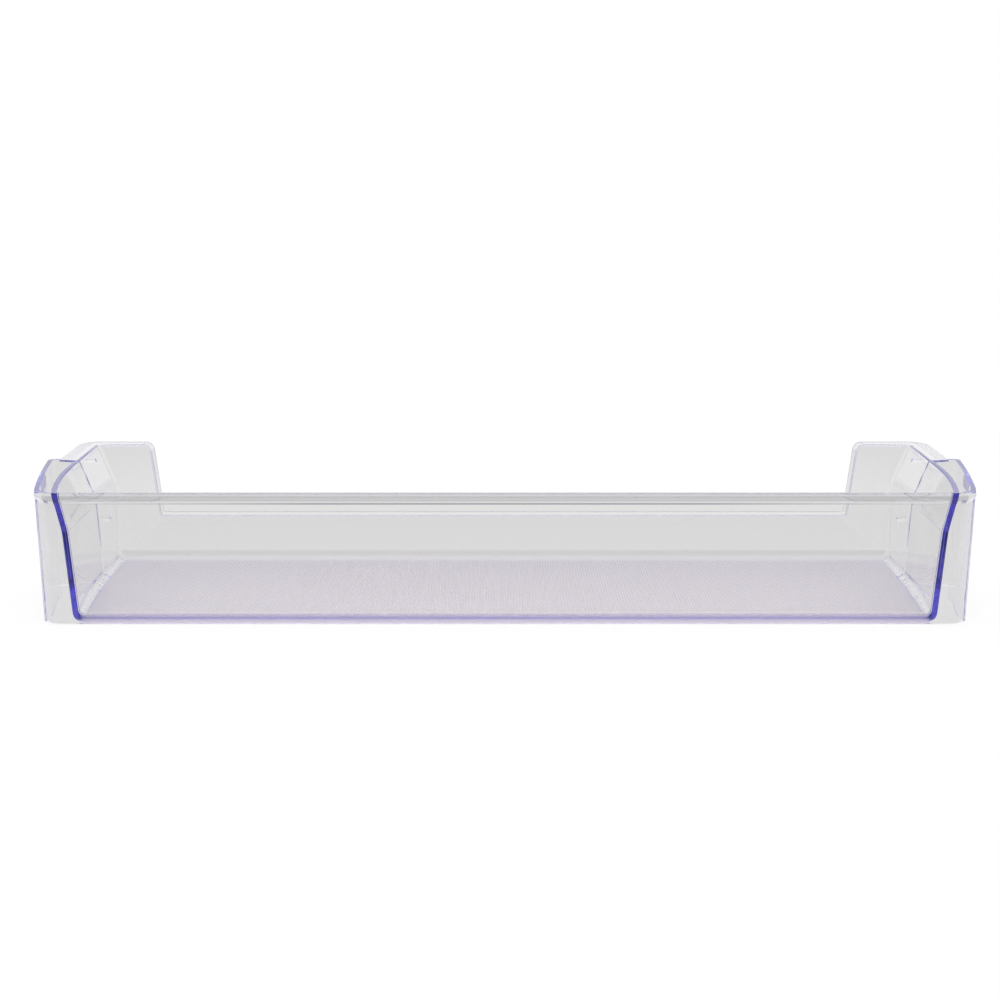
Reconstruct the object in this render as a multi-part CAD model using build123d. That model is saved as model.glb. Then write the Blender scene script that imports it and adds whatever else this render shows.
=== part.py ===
from build123d import *
import os

# A clear door shelf for a refrigerator, moulded in one piece.
# Sizes are millimetres. As drawn, Y = 0 is the front face, +Y runs to the back and Z = 0 is the base.

# Thicknesses
wall = 2.4
floor_thickness = 2.6
flange_thickness = 1.3

# Levels
front_level = 66.6
top_slope = 0.8
drawn_top = 71.0
flare_level = 47.0
low_back_level = 26.0

# Container: half widths of its outer face at the front, where the side walls turn straight, and at the back
base_front_half = 215.6
base_straight_half = 221.3
base_rear_half = 222.0
flare_front_half = 219.7
flare_straight_half = 223.6
flare_rear_half = 223.0
top_front_half = 225.2
top_straight_half = 233.2
top_rear_half = 233.0
straight_from = 72.0
container_front = 1.2
container_depth = 139.0
rear_corner_radius = 4.6
front_inner_radius = 2.0
foot_radius = 6.0
inner_foot_radius = 4.5
flare_blend = 18.0

# Cheeks: the outer skins that turn back from the front face and close on a rear panel.
# The panel leans at the cheek and stands upright at the container, so it is slightly twisted.
cheek_base_corner_half = 230.5
cheek_base_rear_half = 244.2
cheek_base_rear = 82.0
panel_base_inner = 96.5
cheek_top_corner_half = 232.9
cheek_top_rear_half = 247.6
cheek_top_rear = 94.5
panel_top_inner = 85.0
panel_inner_half = 215.0
cheek_bulge = 1.1
cheek_front_radius = 12.0
cheek_rear_radius = 3.5

# Rim bead along the front, running out along the cheeks
bead_height = 5.4
bead_proud = 0.8
bead_root = 1.0
bead_fade_half = 238.6
bead_fade_depth = 46.0

# Back edge: two tall ears with a low wall between them, and a flange turned outwards along it
ear_top_half = 200.4
ear_foot_half = 195.4
ear_corner_radius = 5.0
ear_foot_radius = 1.2
flange_side_half = 241.0
flange_depth = 147.0
flange_corner_radius = 11.0

# Lugs on the outside of the side walls
lug_from_front = 119.0
lug_root_half = 221.6
low_lug_radius = 2.0
low_lug_level = 30.0
low_lug_end_half = 227.5
high_lug_radius = 1.4
high_lug_level = 62.4
high_lug_end_half = 236.4

mouth_radius = 0.7

# The plane of the rim: level along the shelf, rising gently from the front to the back
tilt = Pos(Z=front_level) * Rot(X=top_slope)
far = 400.0

# How near an edge must lie to a plane or a body to count as on it
close = 0.02

# Where along an edge that is tried: at both ends and in the middle
tried_at = (0, 0.5, 1)


def container_outline(front_half, straight_half, rear_half, inset):
    """Plan of the container at one level: arcs from the front to the straight part of each side."""
    front = max(inset, container_front)
    rear = container_depth - inset
    at_front = front_half - inset
    at_straight = straight_half - inset
    at_rear = rear_half - inset
    right_arc = TangentArc((at_straight, straight_from), (at_front, front), tangent=(0, -1))
    left_arc = TangentArc((-at_straight, straight_from), (-at_front, front), tangent=(0, -1))
    back = Polyline(
        (at_straight, straight_from), (at_rear, rear), (-at_rear, rear), (-at_straight, straight_from))
    return make_face([right_arc, back, left_arc, Line((-at_front, front), (at_front, front))])


def container(inset, base_level, base_radius, blend):
    """The container as a solid: upright below, flared above, with a round foot, flare and rear corners."""
    base = container_outline(base_front_half, base_straight_half, base_rear_half, inset)
    middle = container_outline(flare_front_half, flare_straight_half, flare_rear_half, inset)
    top = container_outline(top_front_half, top_straight_half, top_rear_half, inset)
    levels = [Pos(Z=base_level) * base, Pos(Z=flare_level) * middle, Pos(Z=drawn_top) * top]
    body = loft(levels, ruled=True)
    at_flare = [e for e in body.edges() if abs(e.center().Z - flare_level) < close]
    body = fillet([e for e in at_flare if abs(e.center().X) > ear_top_half], blend)
    foot = body.faces().sort_by(Axis.Z)[0].edges()
    body = fillet(foot, base_radius)
    at_rear = [e for e in body.edges() if abs(e.center().Y - (container_depth - inset)) < close]
    return fillet([e for e in at_rear if abs(e.center().X) > ear_top_half], rear_corner_radius - inset)


def corners_at(face, half):
    """The corners of a plan or outline that lie this far to each side of its middle."""
    return [v for v in face.vertices() if abs(abs(v.X) - half) < close]


def cheek_outline(corner_half, rear_half, rear, inner_rear):
    """Plan of the front and cheeks at one level, across the full width: each cheek is a shallow arc."""
    middle = ((corner_half + rear_half) / 2 + cheek_bulge, rear / 2)
    right = ThreePointArc((corner_half, 0), middle, (rear_half, rear))
    left = ThreePointArc((-corner_half, 0), (-middle[0], middle[1]), (-rear_half, rear))
    front = Line((-corner_half, 0), (corner_half, 0))
    back = Polyline(
        (-rear_half, rear), (-panel_inner_half, inner_rear),
        (panel_inner_half, inner_rear), (rear_half, rear))
    face = make_face([front, right, back, left])
    face = fillet(face.vertices().group_by(Axis.Y)[0], cheek_front_radius)
    return fillet(corners_at(face, rear_half), cheek_rear_radius)


def both_sides(right):
    return right + mirror(right, about=Plane.YZ)


outer = container(0, 0, foot_radius, flare_blend + wall)
cavity = container(wall, floor_thickness, inner_foot_radius, flare_blend)

# Soft inner corners between the front wall and the side walls
front_edges = [e for e in cavity.edges() if e.center().Y < 2 * wall]
front_uprights = [e for e in front_edges if abs((e @ 1).Z - (e @ 0).Z) > foot_radius]
cavity = fillet(front_uprights, front_inner_radius)

# Front face and cheeks, hollow between the cheek skin and the container
cheek_base = cheek_outline(cheek_base_corner_half, cheek_base_rear_half, cheek_base_rear, panel_base_inner)
cheek_top = cheek_outline(cheek_top_corner_half, cheek_top_rear_half, cheek_top_rear, panel_top_inner)
cheek_block = loft([cheek_base, Pos(Z=drawn_top) * cheek_top], ruled=True)
pocket_base = offset(cheek_base, -wall, kind=Kind.INTERSECTION)
pocket_top = offset(cheek_top, -wall, kind=Kind.INTERSECTION)
pocket = loft([pocket_base, Pos(Z=drawn_top) * pocket_top], ruled=True)
pocket -= outer

# Everything above the plane of the rim, to be cut off
above_rim = tilt * extrude(Rectangle(2 * far, 2 * far), far)

# Half-round bead swept along the front and round the corners, sinking into the cheeks
bead_path = FilletPolyline(
    (0, 0), (cheek_top_corner_half, 0), (bead_fade_half, bead_fade_depth), radius=cheek_front_radius)
bead_bow = ThreePointArc((0, -bead_height), (-bead_proud, -bead_height / 2), (0, 0))
bead_back = Polyline((0, 0), (bead_root, 0), (bead_root, -bead_height), (0, -bead_height))
bead_section = Plane.YZ * make_face([bead_bow, bead_back])
bead = tilt * both_sides(sweep(bead_section, path=bead_path))

# Back edge as seen from the front, measured down from the plane of the rim
drop = front_level - low_back_level
back_outline = Polyline(
    (-far, -far), (far, -far), (far, 0), (ear_top_half, 0), (ear_foot_half, -drop),
    (-ear_foot_half, -drop), (-ear_top_half, 0), (-far, 0), close=True)
back_face = make_face(back_outline)
back_face = fillet(corners_at(back_face, ear_top_half), ear_corner_radius)
back_face = fillet(corners_at(back_face, ear_foot_half), ear_foot_radius)
facing_front = Plane(origin=(0, 0, 0), x_dir=(1, 0, 0), z_dir=(0, -1, 0))

# The open middle of the back wall, cut a wall's thickness past the rim and well past both faces of the wall
gap = make_face(Polyline((-far, -far), (far, -far), (far, wall), (-far, wall), close=True)) - back_face
window_front = container_depth - 3 * wall
window_run = 4 * wall
window = tilt * (Pos(Y=window_front) * extrude(facing_front * gap, -window_run))

# Flange turned outwards along the sides behind the cheeks and along the back edge
flange_start = panel_top_inner
flange_plan = make_face(Polyline(
    (-flange_side_half, flange_start), (flange_side_half, flange_start),
    (flange_side_half, flange_depth), (-flange_side_half, flange_depth), close=True))
flange_plan = fillet(flange_plan.vertices().group_by(Axis.Y)[-1], flange_corner_radius)
flange_skin = back_face - offset(back_face, -flange_thickness)
flange = tilt * extrude(facing_front * flange_skin, -far) & extrude(flange_plan, drawn_top)
flange -= pocket
flange -= cavity

# Lugs on the outside of each side wall
side_plane = Plane(origin=(lug_root_half, 0, 0), x_dir=(0, 1, 0), z_dir=(1, 0, 0))


def lug(radius, level, end_half):
    return extrude(side_plane * Pos(lug_from_front, level) * Circle(radius), end_half - lug_root_half)


low_lug = lug(low_lug_radius, low_lug_level, low_lug_end_half)
high_lug = lug(high_lug_radius, high_lug_level, high_lug_end_half)

shelf = outer + cheek_block
shelf -= pocket
shelf -= above_rim
shelf -= window
shelf += bead
shelf += flange
shelf += both_sides(low_lug)
shelf += both_sides(high_lug)
shelf -= cavity


def at_rim(edge):
    return all(abs((tilt.inverse() * Pos(edge @ t)).position.Z) < close for t in tried_at)


def on_inner_back(edge):
    return all(abs((edge @ t).Y - (container_depth - wall)) < close for t in tried_at)


# Soft edge round the mouth of the container
inner_edges = [e for e in shelf.edges() if e.distance_to(cavity) < close]
mouth = [e for e in inner_edges if at_rim(e)]
mouth += [e for e in inner_edges if on_inner_back(e) and e.distance_to(window) < close and e not in mouth]
shelf = fillet(mouth, mouth_radius)

box = shelf.bounding_box()
shelf = Pos(0, -(box.min.Y + box.max.Y) / 2, -box.min.Z) * shelf
print("solids", len(shelf.solids()), "valid", shelf.is_valid, "volume cm3", round(shelf.volume / 1000, 1))
print("size", shelf.bounding_box().size)

os.makedirs("parts", exist_ok=True)
export_step(shelf.solids()[0], "parts/door_shelf.step")
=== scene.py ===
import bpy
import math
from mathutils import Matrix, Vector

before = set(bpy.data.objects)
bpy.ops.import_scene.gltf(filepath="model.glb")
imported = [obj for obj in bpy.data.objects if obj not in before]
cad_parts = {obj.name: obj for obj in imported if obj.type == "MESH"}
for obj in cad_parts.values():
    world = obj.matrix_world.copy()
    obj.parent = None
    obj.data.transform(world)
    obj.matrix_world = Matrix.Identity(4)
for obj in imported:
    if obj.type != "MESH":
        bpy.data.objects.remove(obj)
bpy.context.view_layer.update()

# %% [markdown]
# # A clear refrigerator door shelf
# The real shelf is one moulding in clear plastic: floor, walls, cheeks, rim and flange are the same piece.
# The solid from CAD already has that form, with its true wall thickness, so no mesh is modelled again here.
# What Blender adds is the finish: plastic that is clear through a thin wall and blue along a long one.

mm = 0.001


scene = bpy.context.scene
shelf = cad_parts["door_shelf"]

# %% [markdown]
# ## Node helpers
# A material is a chain of nodes. Adding one takes three steps: make it, set its values, join its sockets.
# These short functions do that in one line each, so that the cells below read as a list of what is done.

# %% Helpers for nodes
def add_node(tree, kind, **values):
    node = tree.nodes.new(kind)
    for name, value in values.items():
        setattr(node, name, value)
    return node


def feed(tree, source, target):
    """Join an output socket to an input socket, or set the input to a plain value."""
    if isinstance(source, bpy.types.NodeSocket):
        tree.links.new(source, target)
    else:
        target.default_value = source


def calculate(tree, operation, *values):
    node = add_node(tree, "ShaderNodeMath", operation=operation)
    for value, target in zip(values, node.inputs):
        feed(tree, value, target)
    return node.outputs["Value"]


def blend(tree, kind, amount, low, high):
    """Low where the amount is nought and high where it is one, for RGBA colours or FLOAT numbers."""
    node = add_node(tree, "ShaderNodeMix", data_type=kind)
    feed(tree, amount, node.inputs["Factor"])
    feed(tree, low, node.inputs["A"])
    feed(tree, high, node.inputs["B"])
    return node.outputs["Result"]


def split_axes(tree, coordinate):
    """The X, Y and Z of one of the outputs of Texture Coordinate."""
    axes = add_node(tree, "ShaderNodeSeparateXYZ")
    feed(tree, add_node(tree, "ShaderNodeTexCoord").outputs[coordinate], axes.inputs["Vector"])
    return axes.outputs


def share_between(tree, value, start, end, low=0.0, high=1.0):
    """Low up to start, high from end, and an even change between them."""
    ramp = add_node(tree, "ShaderNodeMapRange")
    feed(tree, value, ramp.inputs["Value"])
    for name, number in (("From Min", start), ("From Max", end), ("To Min", low), ("To Max", high)):
        ramp.inputs[name].default_value = number
    return ramp.outputs["Result"]


print("helpers ready")

# %% [markdown]
# ## Clear plastic
# The plastic holds a trace of blue dye. Through one wall, 2.4 mm of it, the dye can hardly be seen.
# Light that is caught inside a wall runs along it for 100 mm or more, and comes out blue at the edge.
# A colour on the surface can't do that, so the dye goes into the volume, where it works by length of path.

# %% Start the plastic: surface and dye
plastic = bpy.data.materials.new("clear plastic with blue dye")
plastic.use_nodes = True
tree = plastic.node_tree
tree.nodes.clear()
output = add_node(tree, "ShaderNodeOutputMaterial")
surface = add_node(tree, "ShaderNodeBsdfPrincipled")
surface.inputs["IOR"].default_value = 1.59
surface.inputs["Transmission Weight"].default_value = 1.0

dye = add_node(tree, "ShaderNodeVolumeAbsorption")
dye.inputs["Color"].default_value = (0.05, 0.0, 0.76, 1)
dye.inputs["Density"].default_value = 18.0
feed(tree, dye.outputs["Volume"], output.inputs["Volume"])
print("dye density per metre", dye.inputs["Density"].default_value)

# %% [markdown]
# ## Places on the shelf
# The finish isn't the same all over: the floor is grained, the flange is hazy and the walls are polished.
# Each place could be a material of its own, but then the solid would have to be split into faces by hand.
# A mask finds it from Object coordinates: tests on X, Y and Z, multiplied together, come to one inside the
# place and to nought outside it.

# %% Tests on the coordinates
across, along, up = split_axes(tree, "Object")
off_centre = calculate(tree, "ABSOLUTE", across)


def over(value, limit):
    return calculate(tree, "GREATER_THAN", value, limit)


def under(value, limit):
    return calculate(tree, "LESS_THAN", value, limit)


def between(value, low, high):
    return calculate(tree, "COMPARE", value, (low + high) / 2, (high - low) / 2)


def all_of(first, *others):
    for test in others:
        first = calculate(tree, "MULTIPLY", first, test)
    return first


print("tests ready: over, under, between, all of")

# %% [markdown]
# ## Grained floor
# The floor has a fine square grain on both its faces, which also shows in the lowest strip of the front.
# The side walls spread towards the back, so the grain widens with them.
# Behind the grain the floor turns up into the back wall in a plain curve, with a soft finish. The curve is
# also tinted a little darker, as painted shade.

# %% Masks of the floor and of its front and back feet
grain_front = -66.2 * mm
grain_back = 58.7 * mm
grain_front_half = 212 * mm
grain_back_half = 219 * mm
grain_level = 2.8 * mm
front_foot = -74.0 * mm
front_foot_level = 4.6 * mm
back_foot_level = 7.2 * mm

half_width = share_between(tree, along, grain_front, grain_back, grain_front_half, grain_back_half)
inside_walls = under(off_centre, half_width)
on_floor = all_of(between(along, grain_front, grain_back), under(up, grain_level), inside_walls)
on_front_foot = all_of(between(along, front_foot, grain_front), under(up, front_foot_level), inside_walls)
on_back_foot = all_of(over(along, grain_back), under(up, back_foot_level), inside_walls)
grained = calculate(tree, "MAXIMUM", on_floor, on_front_foot)
print("grain", round((grain_back - grain_front) / mm), "mm deep")

# %% [markdown]
# ## Rim bead and flange
# The bead along the top of the front is thicker than the wall, and it is tinted greyer as painted shade, for
# how light bends through it.
# Under it a thin dark line of painted shade stands in for the refraction at the corner; it is strongest in
# the middle of the shelf and fades towards the ends.
# The flange behind the cheeks is thin, and hazier than the walls.

# %% Masks of the bead, of the painted shade line under it and of the flange
outer_face = -72.0 * mm
bead_foot = 61.3 * mm
bead_top = 65.2 * mm
line_half = 0.45 * mm
line_full_half = 100 * mm
line_gone_half = 235 * mm
flange_inner_half = 234.5 * mm
flange_front = 20 * mm
flange_level = 64 * mm

on_front = under(along, outer_face)
on_bead = all_of(on_front, between(up, bead_foot, bead_top))
line_strength = share_between(tree, off_centre, line_full_half, line_gone_half, 1.0, 0.0)
# The line under the bead is painted shade: a dark tint that stands in for the refraction at its foot.
on_painted_shade_line = all_of(on_front, between(up, bead_foot - line_half, bead_foot + line_half), line_strength)
on_flange = all_of(over(off_centre, flange_inner_half), over(along, flange_front), over(up, flange_level))
print("bead", round((bead_top - bead_foot) / mm, 1), "mm high, line", round(2 * line_half / mm, 1), "mm")

# %% [markdown]
# ## Height of the grain and of the walls
# The grain is over 20,000 pips. They could be modelled, but a bump is far lighter and looks the same here.
# A cosine along each axis, added together, gives rows of round pips, and the mask keeps them to the grain.
# Moulded walls are never quite flat, so a slow noise adds a ripple of a hundredth of a millimetre.

# %% Bump of pips and ripple
grain_pitch = 1.47 * mm
wave_height = 0.005 * mm
ripple_height = 0.01 * mm

turns = 2 * math.pi / grain_pitch
waves = [calculate(tree, "COSINE", calculate(tree, "MULTIPLY", axis, turns)) for axis in (across, along, up)]
pips = calculate(tree, "ADD", calculate(tree, "ADD", waves[0], waves[1]), waves[2])
pips = calculate(tree, "MULTIPLY", pips, grained)


def noise(scale, detail):
    node = add_node(tree, "ShaderNodeTexNoise")
    feed(tree, add_node(tree, "ShaderNodeTexCoord").outputs["Object"], node.inputs["Vector"])
    node.inputs["Scale"].default_value = scale
    node.inputs["Detail"].default_value = detail
    return node.outputs["Fac"]


pip_part = calculate(tree, "MULTIPLY", pips, wave_height)
ripple_part = calculate(tree, "MULTIPLY", noise(scale=22.0, detail=1.0), ripple_height)
bump = add_node(tree, "ShaderNodeBump")
bump.inputs["Distance"].default_value = 1.0
feed(tree, calculate(tree, "ADD", pip_part, ripple_part), bump.inputs["Height"])
feed(tree, bump.outputs["Normal"], surface.inputs["Normal"])
print("grain pitch", round(grain_pitch / mm, 2), "mm, ripple", round(ripple_height / mm, 3), "mm")

# %% [markdown]
# ## Colour
# The walls carry a very faint yellow, which balances the blue of the dye through one wall: they look grey.
# The floor is a shade pinker. Its pips are tinted paler as painted highlight, and the valleys between them
# darker as painted shade, so the grain shows.
# The tint of each place is laid over the one before it, as coats of paint would be.

# %% Tint of each place
wall_tint = (1.0, 1.0, 0.963, 1)
# Painted shade: the bead is tinted grey and the line under it dark, for how light bends through the plastic
# there.
bead_painted_shade_tint = (0.62, 0.62, 0.61, 1)
dark_line_painted_shade_tint = (0.22, 0.22, 0.22, 1)
# Painted shade: the back foot is tinted a little darker where the floor curves up into the back wall.
back_foot_painted_shade_tint = (0.90, 0.89, 0.86, 1)
# Painted light on the grain: the pip tint is a painted highlight and the valley tint is painted shade.
pip_painted_highlight_tint = (0.968, 0.916, 0.87, 1)
valley_painted_shade_tint = (0.93, 0.865, 0.82, 1)
front_foot_tint = (1.0, 0.95, 0.98, 1)
pip_reach = 2.2

pip_share = share_between(tree, pips, -pip_reach, pip_reach)
floor_tint_and_painted_grain_shade = blend(tree, "RGBA", pip_share, valley_painted_shade_tint, pip_painted_highlight_tint)
coats = (
    (on_bead, bead_painted_shade_tint), (on_painted_shade_line, dark_line_painted_shade_tint), (on_back_foot, back_foot_painted_shade_tint),
    (on_floor, floor_tint_and_painted_grain_shade), (on_front_foot, front_foot_tint))
tint = wall_tint
for mask, colour in coats:
    tint = blend(tree, "RGBA", mask, tint, colour)
feed(tree, tint, surface.inputs["Base Color"])
print("wall tint", wall_tint[:3], "and", len(coats), "places with a tint of their own")

# %% [markdown]
# ## Polish
# The walls come from a polished mould, and are a little duller in patches, where hands and jars rub them.
# A rough surface lets caught light out, so the floor and its feet look pale and soft beside the walls.

# %% Roughness of each place
rubbed_roughness = 0.025
flange_roughness = 0.2
back_foot_roughness = 0.3
valley_roughness = 0.29
pip_roughness = 0.27
front_foot_roughness = 0.5

roughness = blend(tree, "FLOAT", noise(scale=60.0, detail=4.0), 0.0, rubbed_roughness)
grain_roughness = blend(tree, "FLOAT", pip_share, valley_roughness, pip_roughness)
finishes = (
    (on_flange, flange_roughness), (on_back_foot, back_foot_roughness),
    (on_floor, grain_roughness), (on_front_foot, front_foot_roughness))
for mask, amount in finishes:
    roughness = blend(tree, "FLOAT", mask, roughness, amount)
feed(tree, roughness, surface.inputs["Roughness"])
print(len(finishes), "places with a roughness of their own")

# %% [markdown]
# ## Shadow of a clear thing
# Glass in Cycles throws a shadow as dark as a wall's, because light through it is left to caustics.
# For shadow rays alone the plastic is swapped for a thin transparent tint, so that its shadow is pale.

# %% Finish the plastic and put it on the shelf
shadow_tint = (0.86, 0.86, 0.90, 1)

thin = add_node(tree, "ShaderNodeBsdfTransparent")
thin.inputs["Color"].default_value = shadow_tint
rays = add_node(tree, "ShaderNodeLightPath")
swap = add_node(tree, "ShaderNodeMixShader")
feed(tree, rays.outputs["Is Shadow Ray"], swap.inputs["Fac"])
feed(tree, surface.outputs["BSDF"], swap.inputs[1])
feed(tree, thin.outputs["BSDF"], swap.inputs[2])
feed(tree, swap.outputs["Shader"], output.inputs["Surface"])
shelf.material_slots[0].material = plastic
print("plastic has", len(tree.nodes), "nodes")

# %% [markdown]
# ## White ground and pale room
# Beside the shelf the photograph's ground is plain white. Through the plastic it is pale grey, and as pale
# through two walls as through one, so the grey belongs to the ground and not to the plastic.
# Light Path tells a material which ray has hit it, so the table and the room can show white to the camera
# and another tone to rays that come off gloss or through the plastic. For those the table is grey and the
# room white behind the shelf, and both are dim on the camera's side, which keeps the blue edges deep.
# All other rays see plain paint, so the white adds no light.

# %% Rays that make the picture
white = (1, 1, 1, 1)
ground_behind = (0.76, 0.76, 0.76, 1)
dim_in_front = (0.30, 0.30, 0.30, 1)
paint = (0.85, 0.85, 0.85, 1)


def picture_rays(tree, tone):
    """The share of rays that make the picture, and what they see: white for the camera, else the tone."""
    rays = add_node(tree, "ShaderNodeLightPath").outputs
    camera_ray = rays["Is Camera Ray"]
    gloss_or_clear = calculate(tree, "MAXIMUM", rays["Is Glossy Ray"], rays["Is Transmission Ray"])
    seen = blend(tree, "RGBA", camera_ray, tone, white)
    return calculate(tree, "MAXIMUM", camera_ray, gloss_or_clear), seen


print("tone of the ground behind", ground_behind[0], "and in front", dim_in_front[0])

# %% [markdown]
# ## Table
# A wide plane just under the shelf. Near the shelf it keeps part of its own shading in the picture, and with
# it the shadow. That part fades out with distance, so that no line shows where the table ends.

# %% Table
table_size = 30
table_top = -0.4 * mm
dim_from = -0.10
dim_full = -0.35
shading_near = 0.3
shading_gone = 0.7
plain_near = 0.85

bpy.ops.object.select_all(action="DESELECT")
bpy.ops.mesh.primitive_plane_add(size=table_size, location=(0, 0, table_top))
table = bpy.context.active_object
table.name = "table"
white_table = bpy.data.materials.new("white table")
white_table.use_nodes = True
tree = white_table.node_tree
matt = tree.nodes["Principled BSDF"]
matt.inputs["Base Color"].default_value = paint
matt.inputs["Roughness"].default_value = 0.9

in_front = share_between(tree, split_axes(tree, "Object")["Y"], dim_from, dim_full)
share, seen = picture_rays(tree, blend(tree, "RGBA", in_front, ground_behind, dim_in_front))
ground = add_node(tree, "ShaderNodeEmission")
feed(tree, seen, ground.inputs["Color"])
distance = add_node(tree, "ShaderNodeVectorMath", operation="LENGTH")
feed(tree, add_node(tree, "ShaderNodeTexCoord").outputs["Object"], distance.inputs[0])
plain = share_between(tree, distance.outputs["Value"], shading_near, shading_gone, plain_near, 1.0)
mix = add_node(tree, "ShaderNodeMixShader")
feed(tree, calculate(tree, "MULTIPLY", share, plain), mix.inputs["Fac"])
feed(tree, matt.outputs["BSDF"], mix.inputs[1])
feed(tree, ground.outputs["Emission"], mix.inputs[2])
feed(tree, mix.outputs["Shader"], tree.nodes["Material Output"].inputs["Surface"])
table.data.materials.append(white_table)
print("table", [round(v, 1) for v in table.dimensions[:2]], "m")

# %% [markdown]
# ## Room
# The world stands for the room. It lights the shelf evenly from all sides, as pale walls do.
# In a world, Generated coordinates are the direction of the ray, so Y falls to -1 on the camera's side.

# %% Room
dim_direction = -0.8

room = bpy.data.worlds.new("pale room")
scene.world = room
room.use_nodes = True
tree = room.node_tree
in_front = share_between(tree, split_axes(tree, "Generated")["Y"], 0.0, dim_direction)
share, seen = picture_rays(tree, blend(tree, "RGBA", in_front, white, dim_in_front))
feed(tree, blend(tree, "RGBA", share, paint, seen), tree.nodes["Background"].inputs["Color"])
print("room strength", tree.nodes["Background"].inputs["Strength"].default_value)

# %% [markdown]
# ## Studio light
# One wide softbox hangs above. It draws the thin bright lines along the rim and the tops of the walls.
# It is wide and dim, so that no curve of the plastic mirrors it as a hard white line.

# %% Softbox
lamp_place = Vector((0, 0.1, 1.6))
shelf_place = Vector((0, 0, 0))

bpy.ops.object.light_add(type="AREA", location=lamp_place)
overhead = bpy.context.active_object
overhead.name = "overhead"
overhead.data.shape = "RECTANGLE"
overhead.data.size = 3.2
overhead.data.size_y = 2.6
overhead.data.energy = 28
overhead.rotation_euler = (shelf_place - lamp_place).to_track_quat("-Z", "Y").to_euler()
print("softbox", round(overhead.data.size, 1), "by", round(overhead.data.size_y, 1), "m")

# %% [markdown]
# ## Camera
# The photograph looks at the shelf from the front and 11 degrees down, with a lens a little longer than
# normal. Light caught in the walls bounces dozens of times before it leaves, and Cycles counts each as a
# gloss bounce, so the limits on bounces are raised. With the usual four, the blue edges turn black.

# %% Camera and bounces
camera_place = Vector((-5.5, -944.71, 232.6)) * mm
look_down = math.radians(11.0)
bounces = 256

bpy.ops.object.camera_add(location=camera_place, rotation=(math.pi / 2 - look_down, 0, 0))
camera = bpy.context.active_object
camera.data.lens = 64.8
camera.data.sensor_width = 36
camera.data.shift_x = 0.006
camera.data.clip_end = 50
scene.camera = camera
scene.view_settings.view_transform = "Standard"
scene.cycles.max_bounces = bounces
scene.cycles.glossy_bounces = bounces
scene.cycles.transmission_bounces = bounces
scene.cycles.transparent_max_bounces = 16
print("lens", round(camera.data.lens, 1), "mm, bounces", scene.cycles.max_bounces)
